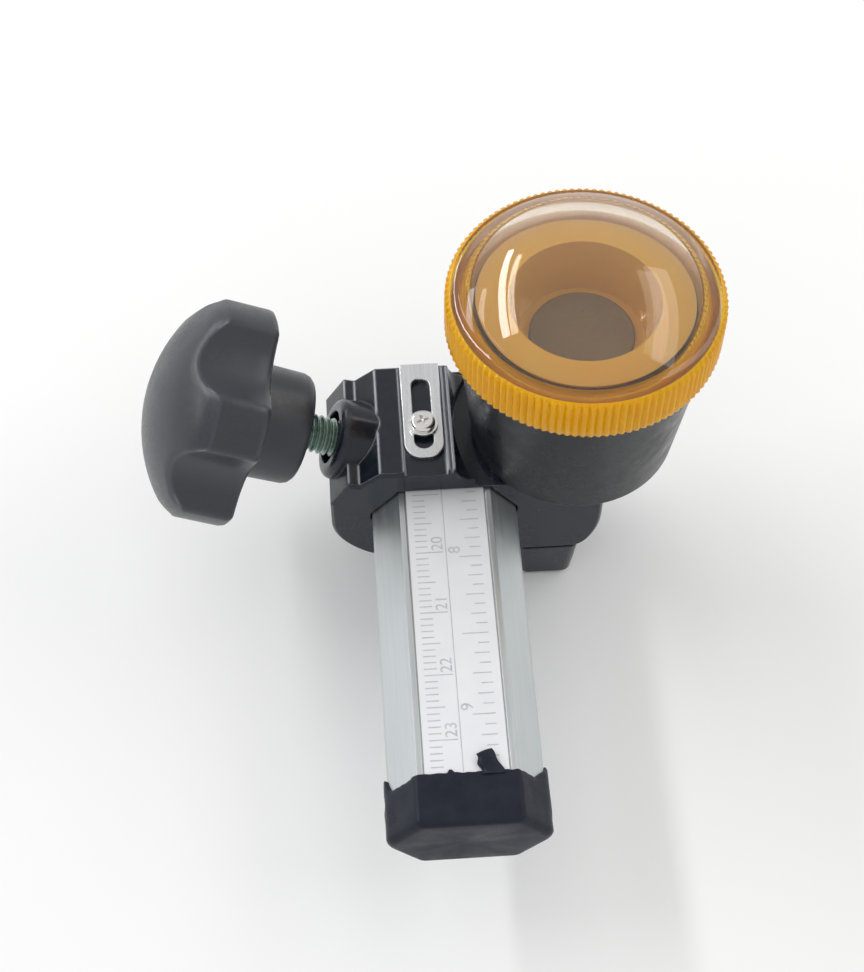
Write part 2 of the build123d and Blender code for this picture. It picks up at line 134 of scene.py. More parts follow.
link(speck.outputs["Fac"], blend.inputs["Factor"])
link(g_in.outputs["Low Color"], blend.inputs["A"])
link(g_in.outputs["High Color"], blend.inputs["B"])
link(speck.outputs["Fac"], rough.inputs["Value"])
link(g_in.outputs["Low Rough"], rough.inputs["To Min"])
link(g_in.outputs["High Rough"], rough.inputs["To Max"])
link(blend.outputs["Result"], g_out.inputs["Color"])
link(rough.outputs["Result"], g_out.inputs["Roughness"])
link(speck.outputs["Fac"], g_out.inputs["Height"])
print("grain group:", len(grain.nodes), "nodes")

# %% [markdown]
# The black moulding gets a painted highlight on its long upper edges only: a
# pale edge colour where the lamps would glint. Where Along Beam is 1, this painted
# highlight is kept to edges that face up and run the same way as the beam: the
# rounded normal then has a large Z and hardly any Y.

# %% Edge wear and painted highlight group
edge_wear_and_highlight, e_in, e_out = new_group(
    "edge_wear_and_highlight",
    [("Radius", FLOAT, 0.0003), ("Strength", FLOAT, 3.0), ("Base Color", COLOR, (0, 0, 0, 1)),
     ("Edge Color", COLOR, (1, 1, 1, 1)), ("Along Beam", FLOAT, 0.0)],
    [("Color", COLOR), ("Normal", VECTOR)])
rounded = edge_wear_and_highlight.nodes.new("ShaderNodeBevel")
rounded.samples = 4
shape = edge_wear_and_highlight.nodes.new("ShaderNodeNewGeometry")
dot = edge_wear_and_highlight.nodes.new("ShaderNodeVectorMath")
dot.operation = "DOT_PRODUCT"
invert = edge_wear_and_highlight.nodes.new("ShaderNodeMath")
invert.operation = "SUBTRACT"
invert.inputs[0].default_value = 1.0
gain = edge_wear_and_highlight.nodes.new("ShaderNodeMath")
gain.operation = "MULTIPLY"
gain.use_clamp = True
patch = edge_wear_and_highlight.nodes.new("ShaderNodeTexNoise")
patch.inputs["Scale"].default_value = 420.0
patchy = edge_wear_and_highlight.nodes.new("ShaderNodeMath")
patchy.operation = "MULTIPLY"
parts = edge_wear_and_highlight.nodes.new("ShaderNodeSeparateXYZ")
tilt = edge_wear_and_highlight.nodes.new("ShaderNodeMath")
tilt.operation = "ABSOLUTE"
spread = edge_wear_and_highlight.nodes.new("ShaderNodeMapRange")
ACROSS_LOW, ACROSS_HIGH, UP_LOW, UP_HIGH = 0.02, 0.22, 0.30, 0.62
spread.inputs["From Min"].default_value = ACROSS_LOW
spread.inputs["From Max"].default_value = ACROSS_HIGH
spread.inputs["To Min"].default_value = 1.0
spread.inputs["To Max"].default_value = 0.0
upper = edge_wear_and_highlight.nodes.new("ShaderNodeMapRange")
upper.inputs["From Min"].default_value = UP_LOW
upper.inputs["From Max"].default_value = UP_HIGH
ridge = edge_wear_and_highlight.nodes.new("ShaderNodeMath")
ridge.operation = "MULTIPLY"
choose = edge_wear_and_highlight.nodes.new("ShaderNodeMix")
choose.inputs["A"].default_value = 1.0
masked = edge_wear_and_highlight.nodes.new("ShaderNodeMath")
masked.operation = "MULTIPLY"
# This mix pales the colour near edges; on the black moulding and the knob it is a painted
# highlight.
wear_and_highlight_mix = edge_wear_and_highlight.nodes.new("ShaderNodeMix")
wear_and_highlight_mix.data_type = "RGBA"
link = edge_wear_and_highlight.links.new
link(e_in.outputs["Radius"], rounded.inputs["Radius"])
link(rounded.outputs["Normal"], dot.inputs[0])
link(shape.outputs["Normal"], dot.inputs[1])
link(dot.outputs["Value"], invert.inputs[1])
link(invert.outputs[0], patchy.inputs[0])
link(patch.outputs["Fac"], patchy.inputs[1])
link(patchy.outputs[0], gain.inputs[0])
link(e_in.outputs["Strength"], gain.inputs[1])
link(rounded.outputs["Normal"], parts.inputs[0])
link(parts.outputs["Y"], tilt.inputs[0])
link(tilt.outputs[0], spread.inputs["Value"])
link(parts.outputs["Z"], upper.inputs["Value"])
link(spread.outputs["Result"], ridge.inputs[0])
link(upper.outputs["Result"], ridge.inputs[1])
link(e_in.outputs["Along Beam"], choose.inputs["Factor"])
link(ridge.outputs[0], choose.inputs["B"])
link(gain.outputs[0], masked.inputs[0])
link(choose.outputs["Result"], masked.inputs[1])
link(masked.outputs[0], wear_and_highlight_mix.inputs["Factor"])
link(e_in.outputs["Base Color"], wear_and_highlight_mix.inputs["A"])
link(e_in.outputs["Edge Color"], wear_and_highlight_mix.inputs["B"])
link(wear_and_highlight_mix.outputs["Result"], e_out.inputs["Color"])
link(rounded.outputs["Normal"], e_out.inputs["Normal"])
print("edge wear and painted highlight group:", len(edge_wear_and_highlight.nodes), "nodes")

# %% Smudge group
smudges, s_in, s_out = new_group(
    "smudges",
    [("Scale", FLOAT, 90.0), ("Amount", FLOAT, 0.1), ("Roughness", FLOAT, 0.3)],
    [("Roughness", FLOAT)])
coords = smudges.nodes.new("ShaderNodeTexCoord")
cloud = smudges.nodes.new("ShaderNodeTexNoise")
cloud.inputs["Detail"].default_value = 6.0
cloud.inputs["Distortion"].default_value = 0.6
soft = smudges.nodes.new("ShaderNodeMapRange")
soft.interpolation_type = "SMOOTHSTEP"
soft.inputs["From Min"].default_value = 0.42
soft.inputs["From Max"].default_value = 0.68
times = smudges.nodes.new("ShaderNodeMath")
times.operation = "MULTIPLY_ADD"
link = smudges.links.new
link(coords.outputs["Object"], cloud.inputs["Vector"])
link(s_in.outputs["Scale"], cloud.inputs["Scale"])
link(cloud.outputs["Fac"], soft.inputs["Value"])
link(soft.outputs["Result"], times.inputs[0])
link(s_in.outputs["Amount"], times.inputs[1])
link(s_in.outputs["Roughness"], times.inputs[2])
link(times.outputs[0], s_out.inputs["Roughness"])
print("smudge group:", len(smudges.nodes), "nodes")

# %% [markdown]
# ## Finishes
# One recipe covers most of them: grain gives the colour and roughness, edge
# wear brightens the rims (a painted highlight on the black moulding and the
# knob), smudges dull some patches, and a bump node turns the grain's height into
# a surface. Only the numbers differ between materials.

# %% One recipe for solid finishes
def solid_finish(name, dark, light, rough_low, rough_high, scale, stretch=(1, 1, 1),
                 edge=None, edge_radius=0.3, edge_strength=3.0, bump_depth=0.004,
                 smudge=0.08, along=0.0, **plain):
    """Colours as red, green, blue; edge_radius and bump_depth in millimetres."""
    finish, tree, shader = new_finish(name, **plain)
    fine = put_group(tree, grain, Scale=scale, Stretch=stretch, Low_Color=(*dark, 1),
                     High_Color=(*light, 1), Low_Rough=rough_low, High_Rough=rough_high)
    rim = put_group(tree, edge_wear_and_highlight, Radius=edge_radius * MM, Strength=edge_strength,
                    Edge_Color=(*(edge or light), 1), Along_Beam=along)
    dull = put_group(tree, smudges, Amount=smudge)
    bump = tree.nodes.new("ShaderNodeBump")
    bump.inputs["Distance"].default_value = bump_depth * MM
    bump.inputs["Strength"].default_value = 0.6
    link = tree.links.new
    link(fine.outputs["Color"], rim.inputs["Base Color"])
    link(rim.outputs["Color"], shader.inputs["Base Color"])
    link(fine.outputs["Roughness"], dull.inputs["Roughness"])
    link(dull.outputs["Roughness"], shader.inputs["Roughness"])
    link(fine.outputs["Height"], bump.inputs["Height"])
    link(rim.outputs["Normal"], bump.inputs["Normal"])
    link(bump.outputs["Normal"], shader.inputs["Normal"])
    return finish


# Painted highlight: the pale edge colour at high strength, kept to the long upper edges,
# stands in for the lamps' glints along the moulding's ridges.
black_moulding = solid_finish(
    "black_moulding", (0.006, 0.009, 0.015), (0.017, 0.022, 0.035), 0.13, 0.24, 700,
    edge=(0.82, 0.86, 0.94), edge_radius=0.55, edge_strength=26.0, bump_depth=0.005,
    smudge=0.12, along=1.0, Coat_Weight=0.2, Coat_Roughness=0.08, Specular_IOR_Level=0.34)
bowl_moulding = solid_finish(
    "bowl_moulding", (0.004, 0.006, 0.008), (0.010, 0.012, 0.016), 0.20, 0.32, 620,
    edge=(0.12, 0.13, 0.17), edge_radius=0.35, edge_strength=1.0, bump_depth=0.006,
    smudge=0.14, Coat_Weight=0.1, Coat_Roughness=0.12, Specular_IOR_Level=0.26)
# Painted highlight: the pale edge colour draws a bright line along the crown's rim.
knob_moulding = solid_finish(
    "knob_moulding", (0.010, 0.013, 0.020), (0.025, 0.029, 0.040), 0.28, 0.42, 2400,
    edge=(0.50, 0.52, 0.62), edge_radius=0.75, edge_strength=5.0, bump_depth=0.008,
    smudge=0.10, Specular_IOR_Level=0.7)
satin_aluminium = solid_finish(
    "satin_aluminium", (0.52, 0.56, 0.57), (0.68, 0.71, 0.72), 0.34, 0.48, 2600,
    stretch=(1, 0.02, 1), edge=(0.97, 0.98, 0.99), edge_radius=0.25, edge_strength=4.0,
    bump_depth=0.003, smudge=0.06, Metallic=1.0)
brushed_plate = solid_finish(
    "brushed_plate", (0.62, 0.63, 0.65), (0.86, 0.87, 0.88), 0.22, 0.36, 5200,
    stretch=(1, 0.03, 1), edge=(0.98, 0.98, 0.98), edge_radius=0.12, edge_strength=4.0,
    bump_depth=0.003, smudge=0.08, Metallic=1.0)
bright_screw = solid_finish(
    "bright_screw", (0.70, 0.70, 0.69), (0.92, 0.91, 0.88), 0.12, 0.26, 1800,
    edge=(1, 1, 1), edge_radius=0.08, edge_strength=3.0, bump_depth=0.004, Metallic=1.0)
zinc_thread = solid_finish(
    "zinc_thread", (0.10, 0.17, 0.14), (0.46, 0.56, 0.51), 0.18, 0.34, 1500,
    edge=(0.90, 0.95, 0.93), edge_radius=0.06, edge_strength=3.0, bump_depth=0.006,
    Metallic=1.0)
turned_brass = solid_finish(
    "turned_brass", (0.55, 0.36, 0.12), (0.78, 0.56, 0.24), 0.24, 0.38, 2600,
    edge=(0.95, 0.78, 0.42), edge_radius=0.1, bump_depth=0.003, Metallic=1.0)
ground_steel = solid_finish(
    "ground_steel", (0.34, 0.35, 0.37), (0.56, 0.57, 0.59), 0.22, 0.36, 3200,
    edge=(0.85, 0.86, 0.88), edge_radius=0.08, bump_depth=0.003, Metallic=1.0)
# Painted shade: the clamp insert is made near-black so its recess reads as shadowed; the dark
# colour stands in for shade, not for the insert's own metal.
recess_painted_shade = solid_finish(
    "recess_painted_shade", (0.010, 0.012, 0.014), (0.030, 0.034, 0.036), 0.30, 0.45, 1800,
    bump_depth=0.003, Metallic=1.0)
soft_vinyl = solid_finish(
    "soft_vinyl", (0.009, 0.011, 0.018), (0.026, 0.030, 0.045), 0.20, 0.34, 320,
    edge=(0.20, 0.22, 0.32), edge_radius=0.4, edge_strength=1.2, bump_depth=0.05,
    smudge=0.16, Specular_IOR_Level=0.14)
seal_rubber = solid_finish(
    "seal_rubber", (0.010, 0.010, 0.011), (0.024, 0.024, 0.025), 0.5, 0.7, 1600,
    bump_depth=0.01)
oiled_felt = solid_finish(
    "oiled_felt", (0.10, 0.070, 0.042), (0.27, 0.20, 0.125), 0.55, 0.85, 1900,
    bump_depth=0.12, smudge=-0.25)
tape_white = solid_finish(
    "tape_white", (0.78, 0.79, 0.82), (0.86, 0.87, 0.895), 0.36, 0.52, 260,
    edge=(0.9, 0.9, 0.92), edge_radius=0.1, bump_depth=0.004, smudge=0.12)
print("solid finishes:", len(bpy.data.materials))

# %% [markdown]
# The printed marks are thin grey ink, uneven where the print is worn, so their
# colour fades along a noise. The amber moulding is glass-like: plain metallic
# and transmission, with only its colour and roughness varying.

# %% Ink and amber finishes
scale_ink = solid_finish(
    "scale_ink", (0.40, 0.41, 0.45), (0.76, 0.77, 0.80), 0.4, 0.6, 500, bump_depth=0.001)


def amber_finish(name, pale, deep, scale, low, high, **plain):
    finish, tree, shader = new_finish(name, IOR=1.49, **plain)
    tint = put_group(tree, grain, Scale=scale, Detail=2.0, Low_Color=(*pale, 1),
                     High_Color=(*deep, 1), Low_Rough=low, High_Rough=high)
    bump = tree.nodes.new("ShaderNodeBump")
    bump.inputs["Distance"].default_value = 0.004 * MM
    link = tree.links.new
    link(tint.outputs["Color"], shader.inputs["Base Color"])
    link(tint.outputs["Roughness"], shader.inputs["Roughness"])
    link(tint.outputs["Height"], bump.inputs["Height"])
    link(bump.outputs["Normal"], shader.inputs["Normal"])
    return finish


amber_dome = amber_finish("amber_dome", (1.0, 0.93, 0.84), (1.0, 0.89, 0.72), 60,
                          0.01, 0.04, Transmission_Weight=0.975)
amber_rim = amber_finish("amber_rim", (1.0, 0.62, 0.002), (1.0, 0.47, 0.001), 300,
                         0.06, 0.14, Transmission_Weight=0.42, Specular_IOR_Level=0.14)
amber_cup = amber_finish("amber_cup", (1.0, 0.66, 0.02), (1.0, 0.50, 0.01), 120,
                         0.05, 0.12, Transmission_Weight=0.15, Coat_Weight=0.7,
                         Coat_Roughness=0.05)
print("ink and amber finishes ready")

# %% [markdown]
# ## Finishes for the solids that stay
# A solid whose shape is right keeps its mesh and only changes material.

# %% Give the fixed solids their finish
KEPT = {
    black_moulding: ["slider_body", "foot"],
    bowl_moulding: ["head_housing", "rear_plug"],
    satin_aluminium: ["beam"],
    tape_white: ["scale_tape"],
    brushed_plate: ["pointer_plate"],
    bright_screw: ["pointer_washer", "pointer_screw", "housing_screws", "foot_screws"],
    turned_brass: ["pointer_insert", "guide_bush", "clamp_pad"],
    # Near-black clamp insert: painted shade for its recess.
    recess_painted_shade: ["clamp_insert"],
    ground_steel: ["wheel_holder", "wheel_axle", "retaining_ring", "cutting_wheel"],
    seal_rubber: ["reservoir_seal"],
    oiled_felt: ["felt_disc", "oil_wick"],
    amber_cup: ["oil_cup"],
}
for finish, nodes in KEPT.items():
    for node in nodes:
        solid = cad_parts[node]
        for material_slot in solid.material_slots:
            material_slot.material = finish
print("finished solids:", sum(len(nodes) for nodes in KEPT.values()))

# %% [markdown]
# ## Mesh tools
# Turned and lofted pieces are rows of rings joined by quads. One function
# joins them, closes a one-point end with a fan, and marks the edges that should
# stay crisp.

# %% Ring loft
def loft(name, rings, finish, body, crisp, finish_at=None, extra_finishes=()):
    """rings: equal-length lists of points in metres; a one-point ring is a tip.

    Edges sharper than crisp degrees stay sharp. finish_at takes a level between
    two rings and gives the number of its finish.
    """
    mesh = bmesh.new()
    rows = [[mesh.verts.new(point) for point in ring] for ring in rings]
    for level, (lower, upper) in enumerate(zip(rows, rows[1:])):
        count = max(len(lower), len(upper))
        for i in range(count):
            j = (i + 1) % count
            if len(lower) == 1:
                face = mesh.faces.new((lower[0], upper[j], upper[i]))
            elif len(upper) == 1:
                face = mesh.faces.new((lower[i], lower[j], upper[0]))
            else:
                face = mesh.faces.new((lower[i], lower[j], upper[j], upper[i]))
            face.smooth = True
            if finish_at:
                face.material_index = finish_at(level)
    bmesh.ops.recalc_face_normals(mesh, faces=mesh.faces)
    for edge in mesh.edges:
        if len(edge.link_faces) == 2 and edge.calc_face_angle(0) > math.radians(crisp):
            edge.smooth = False
    data = bpy.data.meshes.new(name)
    mesh.to_mesh(data)
    mesh.free()
    piece = bpy.data.objects.new(name, data)
    bpy.context.collection.objects.link(piece)
    for each in (finish, *extra_finishes):
        data.materials.append(each)
    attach(piece, body)
    print(name, len(data.polygons), "faces on", body)
    return piece


def ring_about(origin, across, up, along, radius_at, height, count):
    """Points round an axis; radius_at takes the angle and gives millimetres."""
    points = []
    for i in range(count):
        angle = 2 * math.pi * i / count
        radius = radius_at(angle)
        points.append(origin + (across * (radius * math.cos(angle))
                                + up * (radius * math.sin(angle)) + along * height) * MM)
    return points


# %% [markdown]
# ## Clamp knob
# The knob is one compression moulding: a five-lobed head with a domed crown,
# a steep shoulder below the crown, and a round hub. A turned profile is not
# enough, because the lobes change the radius with the angle. Every ring is
# therefore a share of the lobed outline, and the crown's height follows the
# radius, which makes the crown edge dip outward between the lobes.

# %% Clamp axis and lobed outline
TILT, LEAN = math.radians(22.0), math.radians(4.0)
CLAMP_AT = Vector((-8.39, -12.57, 3.94)) * MM
OUT = Vector((-math.cos(TILT) * math.cos(LEAN), math.cos(TILT) * math.sin(LEAN),
              math.sin(TILT)))
ACROSS = Vector((0, -1, 0))
ACROSS = (ACROSS - OUT * ACROSS.dot(OUT)).normalized()
UPWARD = OUT.cross(ACROSS)
STAR_R, BITE_AT, BITE_R, EASE, PHASE = 16.6, 21.2, 8.2, 2.6, math.radians(46)
HUB_START, HUB_R, HUB_END, HEAD_END, CROWN = 13.6, 8.5, 22.2, 29.6, 7.7
SHOULDER_W, SHOULDER_H, HOLE_R = 1.7, 2.4, 3.0
HEEL_R = HUB_R + 0.7
LOBES, KNOB_STEPS = 5, 240


def lobed(angle):
    """Radius of the star outline, with its corners eased."""
    sector = 2 * math.pi / LOBES
    off = (angle - PHASE) % sector - sector / 2
    reach = BITE_R ** 2 - (BITE_AT * math.sin(off)) ** 2
    if reach <= 0:
        return STAR_R
    bite = BITE_AT * math.cos(off) - math.sqrt(reach)
    share = max(EASE - abs(STAR_R - bite), 0) / EASE
    return min(STAR_R, bite) - share * share * EASE / 4


def crown_height(radius):
    """Height of the crown along the clamp axis: a steep shoulder, then a ball."""
    ball_r, rise = STAR_R - SHOULDER_W, CROWN - SHOULDER_H
    if radius > ball_r:
        return HEAD_END + SHOULDER_H * (STAR_R + 0.3 - radius) / (SHOULDER_W + 0.3)
    ball = (ball_r ** 2 + rise ** 2) / (2 * rise)
    return HEAD_END + SHOULDER_H + math.sqrt(ball ** 2 - radius ** 2) - (ball - rise)


def knob_ring(radius_at, height_at):
    points = []
    for i in range(KNOB_STEPS):
        angle = 2 * math.pi * i / KNOB_STEPS
        radius = radius_at(angle)
        points.append(CLAMP_AT + (ACROSS * (radius * math.cos(angle))
                                  + UPWARD * (radius * math.sin(angle))
                                  + OUT * height_at(radius, angle)) * MM)
    return points


# %% Build the knob
knob_rings = []
for radius, lift in ((HOLE_R, 3.2), (HOLE_R, 0.8), (HOLE_R + 0.5, 0.4), (HUB_R - 2.4, 0.3),
                     (HUB_R - 1.5, 0.06), (HUB_R - 0.8, 0.25), (HUB_R - 0.3, 0.75),
                     (HUB_R - 0.05, 1.5), (HUB_R, 3.2), (HUB_R + 0.1, 7.4),
                     (HUB_R + 0.25, 8.2), (HEEL_R, 8.6)):
    knob_rings.append(knob_ring(lambda a, r=radius: r,
                                lambda r, a, h=lift: HUB_START + h))
for share in (0.3, 0.7, 0.92):
    knob_rings.append(knob_ring(
        lambda a, s=share: HEEL_R + (lobed(a) - HEEL_R) * s,
        lambda r, a: HUB_END))
for inset, lift in ((0.45, 0.08), (0.15, 0.32), (0.0, 0.9), (0.0, 2.6), (0.0, 4.6)):
    knob_rings.append(knob_ring(lambda a, d=inset: lobed(a) - d,
                                lambda r, a, h=lift: HUB_END + h))
for inset, drop in ((0.0, 0.5), (0.06, 0.22), (0.25, 0.02)):
    knob_rings.append(knob_ring(lambda a, d=inset: lobed(a) - d,
                                lambda r, a, h=drop: crown_height(lobed(a)) - h))
for share in (0.95, 0.91, 0.87, 0.8, 0.7, 0.6, 0.48, 0.36, 0.24, 0.12, 0.04):
    knob_rings.append(knob_ring(lambda a, s=share: lobed(a) * s,
                                lambda r, a: crown_height(r)))
knob_rings.append([CLAMP_AT + OUT * ((HEAD_END + CROWN) * MM)])
knob = loft("knob_star", knob_rings, knob_moulding, "knob", crisp=50)
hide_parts("clamp_knob")

# %% [markdown]
# ## Clamp stud
# The stud is an M6 screw. Its thread is a real helix: on each ring the radius
# is a triangle wave of height minus turn, so the crest climbs one pitch a turn.

# %% Build the threaded stud
PITCH, CREST_R, ROOT_DROP, STUD_STEPS = 1.0, 2.93, 0.5, 48
STUD_LOW, STUD_HIGH = 1.5, HUB_START + 3
TIP_R, TIP_END, NECK_R, THREAD_LOW = 1.15, 2.3, 2.2, 2.7


def thread_radius(angle, height):
    turn = (height / PITCH - angle / (2 * math.pi)) % 1.0
    wave = min(1.0, max(0.0, (abs(turn - 0.5) * 2 - 0.12) / 0.76))
    return CREST_R - ROOT_DROP * wave


def stud_ring(radius_at, height):
    return ring_about(CLAMP_AT, ACROSS, UPWARD, OUT, radius_at, height, STUD_STEPS)


stud_rings = [[CLAMP_AT + OUT * (STUD_LOW * MM)]]
for height in (STUD_LOW, TIP_END):
    stud_rings.append(stud_ring(lambda a: TIP_R, height))
stud_rings.append(stud_ring(lambda a: NECK_R, TIP_END + 0.1))
level = THREAD_LOW
while level < STUD_HIGH:
    stud_rings.append(stud_ring(lambda a, h=level: thread_radius(a, h), level))
    level += PITCH / 12
stud_rings.append([CLAMP_AT + OUT * (STUD_HIGH * MM)])
stud = loft("stud_thread", stud_rings, zinc_thread, "knob", crisp=70)
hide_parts("clamp_stud")

# %% [markdown]
# ## Amber oil cap
# One clear moulding: a knurled grip ring and a domed lens on top. Glass needs
# a closed shell with real thickness, so the profile runs up the outside, over
# the dome and back down the inside. The teeth are a wave on the outer rings.

# %% Build the amber cap
CUP_AT = Vector((20.1, -12.0, 0)) * MM
EAST, NORTH, SKY = Vector((1, 0, 0)), Vector((0, 1, 0)), Vector((0, 0, 1))
TEETH, STEPS_PER_TOOTH = 112, 6
CAP_STEPS = TEETH * STEPS_PER_TOOTH
RING_LOW, RING_HIGH, DOME_R, DOME_H = 31.6, 38.9, 18.4, 7.0


def tooth(angle, base, depth):
    """Radius of the knurled ring, with teeth that stand depth above the base."""
    phase = (angle * TEETH / (2 * math.pi)) % 1.0
    wave = 0.5 + 0.5 * math.cos(2 * math.pi * phase)
    return base + depth * wave ** 0.8


def dome_points(radius, base, rise, count):
    """Radius and height of points from a ball cap's foot up to just below its tip."""
    ball = (radius ** 2 + rise ** 2) / (2 * rise)
    spread = math.asin(radius / ball)
    return [(ball * math.sin(spread * (1 - i / count)),
             base + rise - ball * (1 - math.cos(spread * (1 - i / count))))
            for i in range(count)]


RIM_BASE, TOOTH_DEPTH = 19.13, 0.47
SOCKET_R, LINING_R, LINING_LOW = 17.4, 15.95, RING_LOW + 1.1
LENS_T, LINING_TOP = 1.9, 35.6
cap_levels = [(SOCKET_R, 0.0, RING_LOW), (18.7, 0.0, RING_LOW),
              (RIM_BASE - 0.08, 0.6 * TOOTH_DEPTH, RING_LOW + 0.18),
              (RIM_BASE - 0.02, TOOTH_DEPTH, RING_LOW + 0.6), (RIM_BASE, TOOTH_DEPTH, 34.0),
              (RIM_BASE, TOOTH_DEPTH, 36.6), (RIM_BASE - 0.02, TOOTH_DEPTH, RING_HIGH - 0.6),
              (RIM_BASE - 0.15, 0.6 * TOOTH_DEPTH, RING_HIGH - 0.18),
              (DOME_R + 0.35, 0.0, RING_HIGH)]
cap_levels += [(r, 0.0, z) for r, z in dome_points(DOME_R, RING_HIGH, DOME_H, 16)]
FIRST_DOME_LEVEL, LAST_LENS_LEVEL = 8, 13
inner = [(r, 0.0, z) for r, z in dome_points(LINING_R, RING_HIGH - 0.8, DOME_H - 1.1, 14)]


def cap_ring(base, depth, height):
    return ring_about(CUP_AT, EAST, NORTH, SKY, lambda a: tooth(a, base, depth), height,
                      CAP_STEPS)


cap_rings = [cap_ring(*row) for row in cap_levels]
cap_rings.append([CUP_AT + SKY * ((RING_HIGH + DOME_H) * MM)])
amber_cap = loft("amber_cap_outside", cap_rings, amber_rim, "cap", crisp=60,
                 finish_at=lambda n: 1 if n >= FIRST_DOME_LEVEL else 0,
                 extra_finishes=[amber_dome])
inner_rings = [[CUP_AT + SKY * ((RING_HIGH + DOME_H - LENS_T) * MM)]]
inner_rings += [cap_ring(*row) for row in reversed(inner)]
inner_rings += [cap_ring(LINING_R, 0, LINING_TOP), cap_ring(LINING_R, 0, LINING_LOW),
                cap_ring(SOCKET_R, 0, LINING_LOW), cap_ring(SOCKET_R, 0, RING_LOW)]
cap_lining = loft("amber_cap_inside", inner_rings, amber_rim, "cap", crisp=60,
                  finish_at=lambda n: 1 if n <= LAST_LENS_LEVEL else 0,
                  extra_finishes=[amber_dome])

# %% Join the two shells of the cap into one closed moulding
shell = bmesh.new()
shell.from_mesh(amber_cap.data)
shell.from_mesh(cap_lining.data)
bmesh.ops.remove_doubles(shell, verts=shell.verts, dist=0.02 * MM)
bmesh.ops.recalc_face_normals(shell, faces=shell.faces)
for edge in shell.edges:
    if len(edge.link_faces) == 2:
        edge.smooth = edge.calc_face_angle(0) < math.radians(60)
shell.to_mesh(amber_cap.data)
shell.free()
bpy.data.objects.remove(cap_lining)
amber_cap.name = "amber_cap"
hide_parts("reservoir_cap")
print("amber cap closed:", len(amber_cap.data.polygons), "faces")

# %% [markdown]
# ## Soft end cap
# A dipped vinyl sleeve covers the beam's front end. It is thin, a little
# wrinkled, and torn at the rim, where tongues of it lie on the beam. The beam
# outline is walked in small steps, and the rim's place along the beam changes
# with the position on that outline.

# %% Outline of the sleeve
TOP_HALF, VERTEX, HALF_T = 6.9, 11.4, 5.9
SKIN, CLEARANCE = 0.5, 0.06


def sleeve_outline(grow):
    """Six-sided outline with eased corners, as points in X and Z, millimetres."""
    corners = [(-TOP_HALF, HALF_T), (TOP_HALF, HALF_T), (VERTEX, 0), (TOP_HALF, -HALF_T),
               (-TOP_HALF, -HALF_T), (-VERTEX, 0)]
    radius = [0.45, 0.45, 1.9, 0.6, 0.6, 1.9]
    grown = []
    for i, corner in enumerate(corners):
        before, after = corners[i - 1], corners[(i + 1) % 6]
        here = Vector(corner)
        into = (here - Vector(before)).normalized()
        out_of = (Vector(after) - here).normalized()
        half = math.acos(max(-1, min(1, into.dot(out_of)))) / 2
        bisector = (into - out_of).normalized()
        point = here + bisector * (grow / math.cos(half))
        cut = (radius[i] + grow) * math.tan(half)
        first, last = point - into * cut, point + out_of * cut
        for k in range(7):
            t = k / 6
            grown.append((first * (1 - t) ** 2 + point * (2 * t * (1 - t)) + last * t ** 2))
    points = []
    for a, b in zip(grown, grown[1:] + grown[:1]):
        gap = (b - a).length
        parts = max(1, round(gap / 0.35)) if gap > 1.2 else 1
        points += [a.lerp(b, k / parts) for k in range(parts)]
    return points


OUTLINE, INSIDE = sleeve_outline(SKIN), sleeve_outline(CLEARANCE)
print("sleeve outline:", len(OUTLINE), "points")

# %% Torn rim and sleeve
RIM_Y, END_Y, END_ROUND = -67.6, -75.2, 1.1
MEAN_R = 9.0


def rim_shift(x, z):
    """How far the rim reaches along the beam beyond its nominal line."""
    rough_edge = 0.18 * noise.noise(Vector((x * 0.9, z * 0.9, 3.1)))
    if z > 5.5:
        nick = max(0.0, 1 - abs(x + 2.3) / 0.45) * 0.8
        return rough_edge + nick
    if x > 0:
        fall = min(1.0, max(0.0, (5.9 - z) / 6.4))
        return rough_edge + (3.1 * max(0.0, fall - 0.42) / 0.58 if z > -0.6 else 1.4)
    tongue = max(0.0, 1 - abs(z - 0.6) / 0.9) * 2.3
    return rough_edge + tongue - (0.3 if z > 2 else 0.0)


def sleeve_ring(points, y_at, pull=0.0, wrinkle=0.0):
    """One ring of the sleeve, drawn in by pull and swollen unevenly by wrinkle."""
    ring = []
    for point in points:
        x, z = point
        centre = Vector((x, z)).normalized()
        y = y_at(x, z)
        swell = wrinkle * noise.noise(Vector((x * 0.35, y * 0.5, z * 0.35)))
        flat = Vector((x, z)) * (1 - pull / MEAN_R) + centre * swell
        ring.append(Vector((flat.x, y, flat.y)) * MM)
    return ring


sleeve = [sleeve_ring(INSIDE, lambda x, z: RIM_Y - 1.5),
          sleeve_ring(INSIDE, lambda x, z: RIM_Y + rim_shift(x, z) - 0.1),
          sleeve_ring(OUTLINE, lambda x, z: RIM_Y + rim_shift(x, z), pull=0.12),
          sleeve_ring(OUTLINE, lambda x, z: RIM_Y + rim_shift(x, z) - 0.25)]
for depth in (0.12, 0.3, 0.5, 0.7, 0.86):
    sleeve.append(sleeve_ring(
        OUTLINE,
        lambda x, z, d=depth: (RIM_Y + rim_shift(x, z) * (1 - d)
                               + (END_Y + END_ROUND - RIM_Y) * d),
        wrinkle=0.22 * math.sin(math.pi * depth)))
for turn in range(0, 91, 15):
    angle = math.radians(turn)
    sleeve.append(sleeve_ring(
        OUTLINE, lambda x, z, a=angle: END_Y + END_ROUND - END_ROUND * math.sin(a),
        pull=END_ROUND * (1 - math.cos(angle)) * 1.05))
END_DISH, FACE_SHARE = 0.25, 0.87
for share in (0.75, 0.5, 0.25):
    face_ring = []
    for p in OUTLINE:
        dent = 0.1 * noise.noise(Vector((p.x * share * 0.4, p.y * share * 0.4, 8)))
        face_ring.append(Vector((p.x * FACE_SHARE * share,
                                 END_Y + END_DISH * (share - 1) ** 2 + dent,
                                 p.y * FACE_SHARE * share)) * MM)
    sleeve.append(face_ring)
